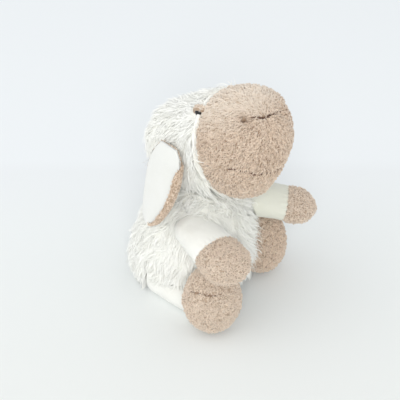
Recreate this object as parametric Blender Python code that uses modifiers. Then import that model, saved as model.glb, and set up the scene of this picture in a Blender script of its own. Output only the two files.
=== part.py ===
"""Seated plush sheep: fur body and head, terry muzzle, hands and feet, velour sleeves, legs and ears.

Metres, +Z up. The sheep faces -Y and its left is +X. The origin is on the floor under the seat.
Soft forms are turned profiles. A profile is a list of (along, out) points that runs from axis to axis.
"""
import math

import bmesh
import bpy
from mathutils import Matrix, Vector

# Fabric and fits
FABRIC = 0.0018
GAP = 0.0003
SEAM_PLAY = 0.0005
FLOOR_PRESS = 0.0005
OVERRUN = 0.002
WELD = 0.000001
PROBE = 0.000001

# Torso: a pear that leans forward, narrower from side to side than from back to front. Its shares are
# (share of the height, share of the radius).
TORSO_HEIGHT = 0.112
TORSO_RADIUS = 0.0540
TORSO_WIDTH_SHARE = 0.88
TORSO_SEAT_BACK = 0.011
TORSO_LEAN = 0.023
TORSO_RADIUS_SHARES = (
    (0.00, 0.72), (0.03, 0.84), (0.09, 0.945), (0.18, 1.0), (0.28, 1.0), (0.41, 0.965),
    (0.53, 0.905), (0.65, 0.80), (0.78, 0.655), (0.885, 0.51), (0.965, 0.36),
)
PROBE_SHARE = 0.01

# Neck
NECK_RADIUS = 0.011
NECK_DEPTH = 0.011
NECK_COLLAR = 0.004

# Head and muzzle, round an axis that points forward and up from the middle of the head, which is
# placed by its rise over the top of the torso
HEAD_BACK = 0.004
HEAD_RISE = 0.027
HEAD_YAW = 3.0
HEAD_PITCH = 21.0
HEAD_RADIUS = 0.0355
FACE_SEAM_REACH = 0.046
FACE_SEAM_RADIUS = 0.042
MUZZLE_SWELL = 0.010
MUZZLE_RADIUS = 0.0433
MUZZLE_DOME = 0.0365
HEAD_TURN_LIMIT = 15.0
HEAD_NOD_LIMIT = 10.0
HEAD_SWING_PLAY = 1.0

# Eyes and lids. The face is sewn on turned and rolled to the sheep's right, with its eyes and stitches.
EYE_RADIUS = 0.0036
EYE_ALONG = 0.042
EYE_TURN = {"right": 32.0, "left": 58.0}
EYE_SINK = 0.0008
LID_WALL = 0.0013

# Stitches on the muzzle, from the sheep's right to its left, as (share of the dome's reach, degrees round
# from the top)
THREAD_RADIUS = 0.0006
NOSE_SHARES = (
    (0.66, 33), (0.72, 30), (0.78, 22), (0.862, 9), (0.875, -3), (0.868, -20), (0.84, -38), (0.812, -50),
)
MOUTH_SHARES = (
    (0.424, 96), (0.507, 98), (0.597, 103), (0.682, 111), (0.762, 125), (0.801, 135), (0.833, 147),
    (0.857, 158), (0.87, 174), (0.862, 192), (0.84, 209),
)

# Ears: two layers of one leaf outline
EAR_LENGTH = 0.073
EAR_WIDTH = 0.037
EAR_ALONG = 0.019
EAR_TURN = 70.0
EAR_TILT = 12.0
EAR_CURL = 0.007
EAR_SWEEP = 0.0095
EAR_WIDTH_SHARES = (
    (0.0, 0.50), (0.1, 0.73), (0.22, 0.91), (0.4, 1.0), (0.62, 0.93), (0.8, 0.73), (0.9, 0.55), (1.0, 0.28),
)
EAR_COLUMNS = 5
EAR_ROWS = 8

# Arms: a sleeve, then a hand, wider than they are thick
ARM_HEIGHT_SHARE = 0.71
ARM_ROUND = 62.0
ARM_BACK = 0.016
ARM_ROOT_RADIUS = 0.0146
CUFF_REACH = {"right": 0.026, "left": 0.039}
CUFF_RADIUS = {"right": 0.0162, "left": 0.0152}
ARM_REACH = {"right": 0.059, "left": 0.065}
HAND_RADIUS = {"right": 0.0170, "left": 0.0155}
HAND_DOME = 0.018
ARM_WIDE_SHARE = 1.2
ARM_THIN_SHARE = 0.85
ARM_YAW = {"right": 18.0, "left": -33.0}
ARM_PITCH = {"right": -11.0, "left": -12.0}

# Legs: a tube that lies on the floor, with an upright egg for a foot
LEG_RADIUS = 0.0115
HIP_OUT = 0.034
HIP_BACK = {"right": 0.012, "left": 0.023}
LEG_YAW = {"right": 5.0, "left": -5.0}
FOOT_REACH = 0.062
FOOT_OUT = 0.004
FOOT_HALF_WIDTH = 0.025
FOOT_HALF_DEPTH = 0.022
FOOT_HALF_HEIGHT = 0.0293
FOOT_TURN = 14.0
FOOT_TIP = -8.0
ANKLE_SINK = 0.008

# Facets
BODY_STEPS = 24
LIMB_STEPS = 16
ARC_STEPS = 5
HEAD_ARC_STEPS = 8
MUZZLE_ARC_STEPS = 7
FOOT_ARC_STEPS = 8
HOLLOW_STEPS = 48
HOLLOW_ARC_STEPS = 20
EYE_SEGMENTS = 12
EYE_RINGS = 8
THREAD_STEPS = 2

# Looks, each a linear colour and a roughness
TERRY = ((0.60, 0.44, 0.32), 0.95)
FUR = ((0.80, 0.79, 0.73), 0.95)
VELOUR = ((0.84, 0.84, 0.82), 0.9)
STUFFING = ((0.88, 0.88, 0.86), 0.9)
THREAD = ((0.035, 0.022, 0.016), 0.8)
EYE_BLACK = ((0.006, 0.006, 0.007), 0.08)

SIDES = {"right": -1, "left": 1}


# Scene
def collection(name):
    made = bpy.data.collections.new(name)
    bpy.context.scene.collection.children.link(made)
    return made


def material(name, colour, roughness):
    made = bpy.data.materials.new(name)
    made.use_nodes = True
    shader = made.node_tree.nodes["Principled BSDF"]
    shader.inputs["Base Color"].default_value = (*colour, 1.0)
    shader.inputs["Roughness"].default_value = roughness
    shader.inputs["Metallic"].default_value = 0.0
    made.diffuse_color = (*colour, 1.0)
    return made


def pivot(name, frame):
    """An empty on a joint's axis, which carries the pieces that move together."""
    made = bpy.data.objects.new(name, None)
    made.empty_display_size = LEG_RADIUS
    made.matrix_world = frame
    PARTS.objects.link(made)
    return made


def add(name, data, place, look=None):
    """A part where it has a look, otherwise a cutter. place is a pivot or a matrix."""
    made = bpy.data.objects.new(name, data)
    if isinstance(place, bpy.types.Object):
        made.parent = place
    else:
        made.matrix_world = place
    if look:
        data.materials.append(material(name, *look))
        PARTS.objects.link(made)
    else:
        made.hide_render = True
        made.display_type = "WIRE"
        CUTTERS.objects.link(made)
    return made


def finished(name, shape):
    """The mesh of a bmesh, with its faces turned out and shaded smooth."""
    bmesh.ops.recalc_face_normals(shape, faces=shape.faces)
    mesh = bpy.data.meshes.new(name)
    shape.to_mesh(mesh)
    shape.free()
    mesh.shade_smooth()
    return mesh


def cut(piece, *cutters):
    for cutter in cutters:
        modifier = piece.modifiers.new("cut_by_" + cutter.name, "BOOLEAN")
        modifier.operation = "DIFFERENCE"
        modifier.solver = "EXACT"
        modifier.object = cutter


# Frames
def aimed(place, yaw, pitch):
    """A frame with Z forward, turned to the sheep's right by yaw and up by pitch, and X to its left."""
    y, p = math.radians(yaw), math.radians(pitch)
    forward = Vector((-math.sin(y) * math.cos(p), -math.cos(y) * math.cos(p), math.sin(p)))
    left = Vector((math.cos(y), -math.sin(y), 0))
    return framed(place, left, forward.cross(left), forward)


def framed(place, x, y, z):
    return Matrix.Translation(place) @ Matrix((x, y, z)).transposed().to_4x4()


# Profiles
def arc(middle, reach, radius, start, stop, steps=ARC_STEPS):
    """Points (along, out) of an elliptical arc, by the angle from its widest ring."""
    points = []
    for i in range(steps + 1):
        angle = start + (stop - start) * i / steps
        out = 0.0 if abs(angle) == 90 else radius * math.cos(math.radians(angle))
        points.append((middle + reach * math.sin(math.radians(angle)), out))
    return points


def read(table, at):
    """The value of a table of (place, value) pairs at a place, by straight lines."""
    for (a, low), (b, high) in zip(table, table[1:]):
        if at <= b:
            return low + (high - low) * max(at - a, 0) / (b - a)
    return table[-1][1]


def inset(profile, depth):
    """The profile moved inwards by a depth, with its ends kept on the axis or on their rims."""
    moved = []
    for i, (along, out) in enumerate(profile):
        before, after = profile[max(i - 1, 0)], profile[min(i + 1, len(profile) - 1)]
        run, rise = after[0] - before[0], after[1] - before[1]
        if out == 0:
            moved.append((along + math.copysign(depth, (run or rise) if i == 0 else -run), 0.0))
            continue
        if i in (0, len(profile) - 1):
            moved.append((along, out - depth))
            continue
        size = math.hypot(run, rise)
        moved.append((along + depth * rise / size, out - depth * run / size))
    return moved


def shell(profile):
    """The closed section of a cover whose outer side is the profile, open where that leaves the axis."""
    return profile + inset(profile, FABRIC)[::-1]


def stuffed(profile):
    return inset(profile, FABRIC + GAP)


def turned(name, profile, steps, shape_by=None):
    """A profile turned round Z, then stretched or leaned by a matrix."""
    shape = bmesh.new()
    verts = [shape.verts.new((out, 0, along)) for along, out in profile]
    loop = verts if profile[0][1] == 0 else verts + verts[:1]
    for a, b in zip(loop, loop[1:]):
        shape.edges.new((a, b))
    bmesh.ops.spin(
        shape, geom=shape.verts[:] + shape.edges[:], cent=(0, 0, 0), axis=(0, 0, 1),
        angle=2 * math.pi, steps=steps, use_merge=True,
    )
    bmesh.ops.remove_doubles(shape, verts=shape.verts[:], dist=WELD)
    if shape_by:
        shape.transform(shape_by)
    return finished(name, shape)


def block(name, size):
    shape = bmesh.new()
    bmesh.ops.create_cube(shape, size=size)
    return finished(name, shape)


def ball(name, radius, look=None, place=None):
    shape = bmesh.new()
    bmesh.ops.create_uvsphere(shape, u_segments=EYE_SEGMENTS, v_segments=EYE_RINGS, radius=radius)
    return add(name, finished(name, shape), place, look)


def behind(name, place, normal):
    """A cutter that takes away all that lies behind a plane."""
    turn = Vector(normal).to_track_quat("Z", "Y").to_matrix().to_4x4()
    centre = Vector(place) - Vector(normal) * TORSO_HEIGHT
    return add(name, block(name, 2 * TORSO_HEIGHT), Matrix.Translation(centre) @ turn)


# Torso
def torso_profile():
    seat = [(0.0, 0.0)]
    side = [(h * TORSO_HEIGHT, r * TORSO_RADIUS) for h, r in TORSO_RADIUS_SHARES]
    return seat + side


def torso_shape():
    """Narrows the turned torso from side to side and leans it forward."""
    return Matrix((
        (TORSO_WIDTH_SHARE, 0, 0, 0),
        (0, 1, -TORSO_LEAN / TORSO_HEIGHT, TORSO_SEAT_BACK),
        (0, 0, 1, 0),
        (0, 0, 0, 1),
    ))


def torso_surface(height_share, sideways, round_from_front):
    """A point of the torso's surface and the outward normal there."""
    lower = read(TORSO_RADIUS_SHARES, height_share - PROBE_SHARE) * TORSO_RADIUS
    upper = read(TORSO_RADIUS_SHARES, height_share + PROBE_SHARE) * TORSO_RADIUS
    slope = (upper - lower) / (2 * PROBE_SHARE * TORSO_HEIGHT)
    radius = (upper + lower) / 2
    angle = math.radians(round_from_front)
    x, y = sideways * math.sin(angle), -math.cos(angle)
    lean = TORSO_LEAN / TORSO_HEIGHT
    point = torso_shape() @ Vector((x * radius, y * radius, height_share * TORSO_HEIGHT))
    return point, Vector((x / TORSO_WIDTH_SHARE, y, y * lean - slope)).normalized()


def build_torso(cutters, leg_pockets):
    cover = turned("body_cover", shell(torso_profile()), BODY_STEPS, torso_shape())
    cover = add("body_cover", cover, Matrix(), FUR)
    top = [(TORSO_HEIGHT, 0.0)]
    filling = turned("body_filling", stuffed(torso_profile() + top), BODY_STEPS, torso_shape())
    filling = add("body_filling", filling, Matrix(), STUFFING)
    for piece in (cover, filling):
        cut(piece, cutters["head"], cutters["neck"], *leg_pockets)


# Neck
def neck_profile(play):
    """A plug under the head, wide enough for a play, from below the head's ball to above its lowest point."""
    low = -HEAD_RADIUS - NECK_DEPTH - play
    high = -HEAD_RADIUS + NECK_COLLAR + play
    radius = NECK_RADIUS + play
    return [(low, 0.0), (low, radius), (high, radius), (high, 0.0)]


def build_neck(place, cutters):
    neck = add("neck_filling", turned("neck_filling", neck_profile(0), LIMB_STEPS), place, STUFFING)
    cut(neck, cutters["head"])


# Head
def head_profile():
    return arc(0, HEAD_RADIUS, HEAD_RADIUS, -90, 0, HEAD_ARC_STEPS) + [
        (FACE_SEAM_REACH / 2, (HEAD_RADIUS + FACE_SEAM_RADIUS) / 2 + GAP),
        (FACE_SEAM_REACH, FACE_SEAM_RADIUS),
    ]


def muzzle_profile():
    dome = arc(FACE_SEAM_REACH + MUZZLE_SWELL, MUZZLE_DOME, MUZZLE_RADIUS, 0, 90, MUZZLE_ARC_STEPS)
    return [(FACE_SEAM_REACH + GAP, FACE_SEAM_RADIUS)] + dome


def whole_head():
    return head_profile() + muzzle_profile()[1:]


def on_head(along, turn, lift):
    """A point of the head's surface and its frame: X forward, Y round towards the top, Z out."""
    profile = whole_head()
    out = read(profile, along)
    slope = (read(profile, along + PROBE) - read(profile, along - PROBE)) / (2 * PROBE)
    angle = math.radians(turn)
    ring = Vector((-math.sin(angle), math.cos(angle), 0))
    normal = (ring - slope * Vector((0, 0, 1))).normalized()
    upwards = Vector((math.cos(angle), math.sin(angle), 0))
    place = ring * out + Vector((0, 0, along)) + normal * lift
    return framed(place, upwards.cross(normal), upwards, normal)


def head_swing():
    """The angle by which the head's axis leaves its rest when it has turned and nodded to its limits."""
    turned_by, nodded_by = math.radians(HEAD_TURN_LIMIT), math.radians(HEAD_NOD_LIMIT)
    return math.degrees(math.acos(math.cos(turned_by) * math.cos(nodded_by))) + HEAD_SWING_PLAY


def cheek_flare():
    """The angle at which the head widens from its ball to the face seam."""
    return math.atan((FACE_SEAM_RADIUS - HEAD_RADIUS) / FACE_SEAM_REACH)


def head_clearance():
    """The head's ball, then a cone that leaves room under the flaring jaw for the turn and the nod."""
    facet = math.cos(math.pi / HOLLOW_STEPS) * math.cos(math.pi / (2 * HOLLOW_ARC_STEPS))
    radius = (HEAD_RADIUS + GAP) / facet
    opening = math.tan(math.radians(head_swing()) + cheek_flare())
    ball_part = arc(0, radius, radius, -90, -head_swing(), HOLLOW_ARC_STEPS)
    start, out = ball_part[-1]
    reach = FACE_SEAM_REACH + MUZZLE_SWELL
    return ball_part + [(reach, out + SEAM_PLAY + (reach - start) * opening), (reach, 0.0)]


def build_head(head, head_form):
    cover = turned("head_cover", shell(head_profile()), BODY_STEPS)
    add("head_cover", cover, head, FUR)
    muzzle = turned("muzzle_cover", shell(muzzle_profile()), BODY_STEPS)
    add("muzzle_cover", muzzle, head, TERRY)
    filling = turned("head_filling", stuffed(whole_head()), BODY_STEPS)
    add("head_filling", filling, head, STUFFING)
    for side, sign in SIDES.items():
        build_eye(side, sign, head, head_form)
    build_thread("nose_stitch", NOSE_SHARES, head)
    build_thread("mouth_stitch", MOUTH_SHARES, head)


def build_eye(side, sign, head, head_form):
    place = on_head(EYE_ALONG, -sign * EYE_TURN[side], -EYE_SINK)
    world = head.matrix_world @ place
    eye = ball(f"{side}_eye", EYE_RADIUS, EYE_BLACK, world)
    cut(eye, head_form)
    lid = ball(f"{side}_eyelid", EYE_RADIUS + GAP + LID_WALL, TERRY, world)
    socket = ball(f"{side}_eye_room", EYE_RADIUS + GAP, None, world)
    upwards = world.to_3x3() @ Vector((0, -sign, 0))
    brim = behind(f"{side}_lid_brim", world.translation + upwards * EYE_SINK, upwards)
    cut(lid, head_form, socket, brim)


def flowing(points, between):
    """Points on a smooth curve through a list of points, with this many steps from one to the next."""
    ends = [points[0], *points, points[-1]]
    curve = []
    for a, b, c, d in zip(ends, ends[1:], ends[2:], ends[3:]):
        for i in range(between):
            t = i / between
            weights = (-t + 2 * t**2 - t**3, 2 - 5 * t**2 + 3 * t**3, t + 4 * t**2 - 3 * t**3, t**3 - t**2)
            curve.append([sum(w * p[k] for w, p in zip(weights, (a, b, c, d))) / 2 for k in range(2)])
    return curve + [points[-1]]


def build_thread(name, shares, head):
    """A stitched line over the muzzle."""
    reach = FACE_SEAM_REACH + MUZZLE_SWELL
    turns = flowing([(reach + share * MUZZLE_DOME, turn) for share, turn in shares], THREAD_STEPS)
    curve = bpy.data.curves.new(name, "CURVE")
    curve.dimensions = "3D"
    curve.bevel_depth = THREAD_RADIUS
    curve.bevel_resolution = 1
    curve.use_fill_caps = True
    line = curve.splines.new("POLY")
    line.points.add(len(turns) - 1)
    for point, (along, turn) in zip(line.points, turns):
        point.co = (*on_head(along, turn, THREAD_RADIUS + 2 * GAP).translation, 1)
    add(name, curve, head, THREAD)


# Ears
def ear_layer(name, outwards):
    """One layer of the ear: X forward, Y out, Z down. Its front edge curls out and its tip sweeps back."""
    shape = bmesh.new()
    bmesh.ops.create_grid(shape, x_segments=EAR_COLUMNS, y_segments=EAR_ROWS, size=1)
    for vert in shape.verts:
        across, down = vert.co.x, (vert.co.y + 1) / 2
        width = EAR_WIDTH / 2 * read(EAR_WIDTH_SHARES, down)
        curl = EAR_CURL * max(across, 0) ** 2 * math.sin(math.pi * down / 2)
        vert.co = (across * width - EAR_SWEEP * down ** 2, curl, EAR_LENGTH * down)
    shape.normal_update()
    for vert in shape.verts:
        vert.co -= vert.normal * outwards * GAP / 2
    mesh = bpy.data.meshes.new(name)
    shape.to_mesh(mesh)
    shape.free()
    mesh.shade_smooth()
    return mesh


def ear_frame(head, sign):
    """The top edge of the ear on the side of the head, level from back to front along the cheek."""
    lift = GAP + FABRIC + (GAP + FABRIC) / 2
    top = head.matrix_world @ on_head(EAR_ALONG, -sign * EAR_TURN, lift)
    forward = (head.matrix_world.to_3x3() @ Vector((0, 0, 1))).cross(Vector((0, 0, 1)))
    forward = Vector((0, 0, 1)).cross(forward).normalized()
    forward = Matrix.Rotation(sign * cheek_flare(), 3, "Z") @ forward
    out = forward.cross(Vector((0, 0, 1))) * -sign
    tilt = math.radians(EAR_TILT)
    down = out * math.sin(tilt) - Vector((0, 0, 1)) * math.cos(tilt)
    outwards = out * math.cos(tilt) + Vector((0, 0, 1)) * math.sin(tilt)
    return framed(top.translation, forward, outwards, down)


def build_ear(side, sign, head):
    frame = ear_frame(head, sign)
    ear = pivot(f"{side}_ear_pivot", frame)
    for layer, outwards, look in (("outer", 1, VELOUR), ("inner", -1, TERRY)):
        name = f"{side}_ear_{layer}"
        piece = add(name, ear_layer(name, outwards), ear, look)
        thick = piece.modifiers.new("fabric", "SOLIDIFY")
        thick.thickness = FABRIC
        thick.offset = -outwards
        thick.use_even_offset = True


# Arms
def sleeve_profile(side):
    cuff, radius = CUFF_REACH[side], CUFF_RADIUS[side]
    middle = (cuff / 2, (ARM_ROOT_RADIUS + radius) / 2 + GAP)
    return arc(0, ARM_BACK, ARM_ROOT_RADIUS, -90, 0) + [middle, (cuff, radius)]


def hand_profile(side):
    cuff, widest, radius = CUFF_REACH[side], ARM_REACH[side] - HAND_DOME, HAND_RADIUS[side]
    swell = ((cuff + widest) / 2, (CUFF_RADIUS[side] + radius) / 2 + GAP)
    return [(cuff + GAP, CUFF_RADIUS[side]), swell] + arc(widest, HAND_DOME, radius, 0, 90, ARC_STEPS)


def build_arm(side, sign):
    place, normal = torso_surface(ARM_HEIGHT_SHARE, sign, ARM_ROUND)
    place += normal * GAP
    frame = aimed(place, ARM_YAW[side], ARM_PITCH[side])
    shoulder = pivot(f"{side}_shoulder", frame)
    body_side = behind(f"{side}_arm_seam", place, normal)
    flat = Matrix.Diagonal((ARM_WIDE_SHARE, ARM_THIN_SHARE, 1, 1))
    pieces = (
        (f"{side}_sleeve", shell(sleeve_profile(side)), VELOUR),
        (f"{side}_hand_cover", shell(hand_profile(side)), TERRY),
        (f"{side}_arm_filling", stuffed(sleeve_profile(side) + hand_profile(side)[1:]), STUFFING),
    )
    for name, profile, look in pieces:
        piece = add(name, turned(name, profile, LIMB_STEPS, flat), shoulder, look)
        if "hand" not in name:
            cut(piece, body_side)


# Legs
def hip_place(side, sign):
    return Vector((sign * HIP_OUT, HIP_BACK[side], LEG_RADIUS - FLOOR_PRESS))


def leg_profile(play=0.0):
    end = FOOT_REACH - FOOT_HALF_DEPTH + ANKLE_SINK + play
    radius = LEG_RADIUS + play
    return arc(0, radius, radius, -90, 0) + [(end, radius)]


def leg_pocket(side, sign):
    """Room under the torso for the leg: round behind the hip, straight inside the leg, open outside it."""
    hip = hip_place(side, sign)
    radius = (LEG_RADIUS + SEAM_PLAY) / math.cos(math.pi / LIMB_STEPS)
    far = 2 * FOOT_REACH
    rest = math.radians(-sign * LEG_YAW[side])
    sine, cosine = math.sin(rest), math.cos(rest)
    outline = [(far * sine - radius * cosine, -far * cosine - radius * sine)]
    for i in range(LIMB_STEPS + 1):
        angle = rest + (math.pi / 2 - rest) * i / LIMB_STEPS
        outline.append((-radius * math.cos(angle), radius * math.sin(angle)))
    outline += [(far, radius), (far, -far)]
    high = 2 * LEG_RADIUS - FLOOR_PRESS + GAP
    shape = bmesh.new()
    rim = [shape.verts.new((hip.x + sign * x, hip.y + y, -OVERRUN)) for x, y in outline]
    grown = bmesh.ops.extrude_face_region(shape, geom=[shape.faces.new(rim)])["geom"]
    raised = [item for item in grown if isinstance(item, bmesh.types.BMVert)]
    bmesh.ops.translate(shape, verts=raised, vec=(0, 0, OVERRUN + high))
    name = f"{side}_leg_room"
    return add(name, finished(name, shape), Matrix())


def foot_egg(inwards):
    """The turned profile and the stretch of the foot, smaller all round by a depth."""
    depth, height = FOOT_HALF_DEPTH - inwards, FOOT_HALF_HEIGHT - inwards
    widen = Matrix.Diagonal(((FOOT_HALF_WIDTH - inwards) / depth, 1, 1, 1))
    return arc(0, height, depth, -90, 90, FOOT_ARC_STEPS), LIMB_STEPS, widen


def build_leg(side, sign, floor, torso_form):
    frame = aimed(hip_place(side, sign), LEG_YAW[side], 0)
    hip = pivot(f"{side}_hip", frame)
    cover = turned(f"{side}_leg_cover", shell(leg_profile()), LIMB_STEPS)
    cover = add(f"{side}_leg_cover", cover, hip, VELOUR)
    cut(cover, floor)
    end = (leg_profile()[-1][0], 0.0)
    inside = turned(f"{side}_leg_filling", stuffed(leg_profile()) + [end], LIMB_STEPS)
    add(f"{side}_leg_filling", inside, hip, STUFFING)

    centre = frame @ Vector((sign * FOOT_OUT, 0, FOOT_REACH))
    centre.z = FOOT_HALF_HEIGHT - FLOOR_PRESS
    turn = Matrix.Rotation(math.radians(sign * FOOT_TURN), 4, "Z")
    tip = Matrix.Rotation(math.radians(FOOT_TIP), 4, "X")
    place = Matrix.Translation(centre) @ turn @ tip
    ankle_end = (leg_profile(GAP)[-1][0], 0.0)
    ankle = turned(f"{side}_ankle", leg_profile(GAP) + [ankle_end], LIMB_STEPS)
    ankle = add(f"{side}_ankle", ankle, frame)
    room = add(f"{side}_foot_room", turned(f"{side}_foot_room", *foot_egg(FABRIC)), place)
    for layer, inwards, look in (("cover", 0, TERRY), ("filling", FABRIC + GAP, STUFFING)):
        name = f"{side}_foot_{layer}"
        piece = add(name, turned(name, *foot_egg(inwards)), hip, look)
        piece.matrix_local = frame.inverted() @ place
        if not inwards:
            cut(piece, room, floor)
        cut(piece, ankle, torso_form)


# The whole sheep
def build():
    neck_frame = Matrix.Translation((0, HEAD_BACK, TORSO_HEIGHT + HEAD_RISE))
    neck = pivot("neck_pivot", neck_frame)
    head_frame = aimed(neck_frame.translation, HEAD_YAW, HEAD_PITCH)
    head = pivot("head_pivot", head_frame)
    bpy.context.view_layer.update()
    cutters = {
        "head": add("head_room", turned("head_room", head_clearance(), HOLLOW_STEPS), head_frame),
        "neck": add("neck_room", turned("neck_room", neck_profile(SEAM_PLAY), LIMB_STEPS), neck_frame),
    }
    head_form = add("head_form", turned("head_form", inset(whole_head(), -GAP), BODY_STEPS), head_frame)
    whole_torso = inset(torso_profile() + [(TORSO_HEIGHT, 0.0)], -GAP)
    torso_form = add("torso_form", turned("torso_form", whole_torso, BODY_STEPS, torso_shape()), Matrix())
    floor = behind("floor_cut", (0, 0, 0), (0, 0, 1))
    build_torso(cutters, [leg_pocket(side, sign) for side, sign in SIDES.items()])
    build_neck(neck, cutters)
    build_head(head, head_form)
    for side, sign in SIDES.items():
        build_ear(side, sign, head)
        build_arm(side, sign)
        build_leg(side, sign, floor, torso_form)


for old in list(bpy.data.objects):
    bpy.data.objects.remove(old, do_unlink=True)
PARTS = collection("plush_sheep")
CUTTERS = collection("cutters")
build()
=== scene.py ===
"""Looks of the seated plush sheep: long pile on body and head, looped terry on muzzle, hands, feet and ear
linings, smooth velour on sleeves, legs and ears.

Metres, +Z up. The sheep faces -Y and its left is +X. Every mesh is made in the row frame.
"""
import itertools
import math

import bpy
import numpy as np
from mathutils import Matrix, Vector, kdtree


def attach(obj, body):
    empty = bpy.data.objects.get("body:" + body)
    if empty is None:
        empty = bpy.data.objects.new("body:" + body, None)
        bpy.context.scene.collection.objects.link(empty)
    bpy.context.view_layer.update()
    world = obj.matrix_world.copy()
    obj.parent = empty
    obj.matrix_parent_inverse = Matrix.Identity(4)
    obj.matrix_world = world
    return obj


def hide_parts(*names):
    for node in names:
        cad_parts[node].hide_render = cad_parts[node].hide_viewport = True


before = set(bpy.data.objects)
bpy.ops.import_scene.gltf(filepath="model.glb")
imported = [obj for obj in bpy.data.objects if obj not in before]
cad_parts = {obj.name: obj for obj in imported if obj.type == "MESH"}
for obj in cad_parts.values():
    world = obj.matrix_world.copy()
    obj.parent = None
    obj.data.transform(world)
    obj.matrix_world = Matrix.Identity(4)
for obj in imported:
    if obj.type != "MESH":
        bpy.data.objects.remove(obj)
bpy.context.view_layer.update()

# Forms, as in the frame
TORSO_HEIGHT = 0.112
TORSO_RADIUS = 0.054
TORSO_WIDE = 0.88
TORSO_BACK = 0.011
TORSO_LEAN = 0.023
TORSO_SIDE = (
    (0.00, 0.72), (0.03, 0.84), (0.09, 0.945), (0.18, 1.0), (0.28, 1.0), (0.41, 0.965),
    (0.53, 0.905), (0.65, 0.80), (0.78, 0.655), (0.885, 0.51), (0.965, 0.36),
)
HEAD_CENTRE = Vector((0, 0.004, 0.139))
HEAD_RADIUS = 0.0355
HEAD_SWING = 18.96
HEAD_YAW, HEAD_PITCH = 3.0, 21.0
SEAM_ALONG, SEAM_RADIUS = 0.046, 0.042
MUZZLE_MIDDLE, MUZZLE_RADIUS, MUZZLE_DOME = 0.056, 0.0433, 0.0365
CHEEK_FLARE = math.atan((SEAM_RADIUS - HEAD_RADIUS) / SEAM_ALONG)
EYE_ALONG, EYE_RADIUS = 0.042, 0.0036
EYE_TURN = {"right": 32.0, "left": 58.0}
ARM_PLACE = Vector((0.03101, -0.02403, 0.07963))
ARM_NORMAL = Vector((0.8414, -0.3937, 0.3701))
ARM_YAW = {"right": 18.0, "left": -33.0}
ARM_PITCH = {"right": -11.0, "left": -12.0}
ARM_WIDE, ARM_THIN = 1.2, 0.85
ARM_BACK, ARM_ROOT, HAND_DOME = 0.016, 0.0146, 0.018
CUFF_REACH = {"right": 0.026, "left": 0.039}
CUFF_RADIUS = {"right": 0.0162, "left": 0.0152}
ARM_REACH = {"right": 0.059, "left": 0.065}
HAND_RADIUS = {"right": 0.0170, "left": 0.0155}
LEG_RADIUS = 0.0115
HIP = {"right": Vector((-0.034, 0.012, 0.011)), "left": Vector((0.034, 0.023, 0.011))}
LEG_YAW = {"right": 5.0, "left": -5.0}
FOOT_REACH, FOOT_OUT = 0.062, 0.004
FOOT_WIDE, FOOT_DEEP, FOOT_HIGH = 0.025, 0.022, 0.0293
FOOT_TURN, FOOT_TIP = 14.0, -8.0
# The seam round the upper front of a foot, in its own frame
FOOT_SEAM = (
    (-0.0203, 0.0019, 0.0155), (-0.0184, -0.0040, 0.0166), (-0.0174, -0.0074, 0.0166), (-0.0147, -0.0115, 0.0160),
    (-0.0114, -0.0148, 0.0150), (-0.0076, -0.0168, 0.0145), (-0.0030, -0.0188, 0.0128),
)
EAR_LENGTH, EAR_WIDTH, EAR_SWEEP = 0.073, 0.037, 0.0095
EAR_ALONG, EAR_TURN, EAR_TILT = 0.019, 70.0, 12.0
EAR_SIDE = (
    (0.0, 0.50), (0.1, 0.73), (0.22, 0.91), (0.4, 1.0), (0.62, 0.93), (0.8, 0.73), (0.9, 0.55), (1.0, 0.28),
)
NOSE = (
    (0.66, 33), (0.72, 30), (0.78, 22), (0.862, 9), (0.875, -3), (0.868, -20), (0.84, -38), (0.812, -50),
)
MOUTH = (
    (0.424, 96), (0.507, 98), (0.597, 103), (0.682, 111), (0.762, 125), (0.801, 135), (0.833, 147),
    (0.857, 158), (0.87, 174), (0.862, 192), (0.84, 209),
)
SIDES = {"right": -1, "left": 1}
UP = Vector((0, 0, 1))
HEAD_POINT = np.array(HEAD_CENTRE)

# Cloth, which only this script shapes. Skins lie this far inside the solids, under their pile or loops.
FUR_INSET, TERRY_INSET, HAND_INSET = 0.0026, 0.0010, 0.0009
# Spacing, rise, length and thickness of the strands
BODY_PILE = (0.00150, 0.0034, 0.0120, 0.00025)
HEAD_PILE = (0.00135, 0.0026, 0.0110, 0.00024)
TALL_SHARE, TALL_GROWTH = 0.16, 1.9
# The share of the strands that draw the tips of their neighbours into a tuft
TUFT_SHARE = (1.5e-3 / 0.0065) ** 2
PILE_BATCH, YARN_BATCH = 9000, 5200
YARN_SPACING, LIMB_YARN_SPACING, LID_YARN_SPACING = 0.00118, 0.00116, 0.00085
EYE_ROOM, LID_THICK, LID_BRIM = 0.0058, 0.0016, 0.0012
# Uneven stuffing of the muzzle: place in the head's frame, swell and width
FACE_SWELLS = (
    ((0.020, -0.026, 0.080), -0.0042, 0.016), ((0.030, 0.024, 0.074), 0.0036, 0.018),
    ((0.008, -0.036, 0.0755), -0.0042, 0.012),
)
# On the nose's path: the visible nostril, and where the stitches start
NOSTRIL, STITCH_START = 2, 8
# Depth, width and painted dark shade of the creases along the two paths, and of the pits at the nose's ends
LINE_CREASES = ((0.0015, 0.0017, 0.9), (0.0013, 0.0013, 0.8))
NOSTRIL_PITS = ((NOSTRIL, 0.0075, 0.0045, 1.0), (-1, 0.0060, 0.0040, 0.9))
# Room without yarn along the two paths, and round the nostril
LINE_ROOM, NOSTRIL_ROOM = (0.0017, 0.0014), 0.0032
# Piece, solid, points in a stitch, points between two, and thickness
STITCHES = (("nose_line", "nose_stitch", 7, 1, 0.00045), ("mouth_line", "mouth_stitch", 4, 3, 0.00060))
EAR_ROLL, EAR_CURL, EAR_RIM = 0.0034, 165, 0.0012
EAR_THICK = {"outer": 0.0016, "inner": 0.0011}
GATHERS, GATHER_DEPTH = 23, 0.00035
FOOT_SEAM_DEPTH, FOOT_SEAM_WIDTH, FOOT_SEAM_ROOM = 0.0012, 0.0012, 0.0011


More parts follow.
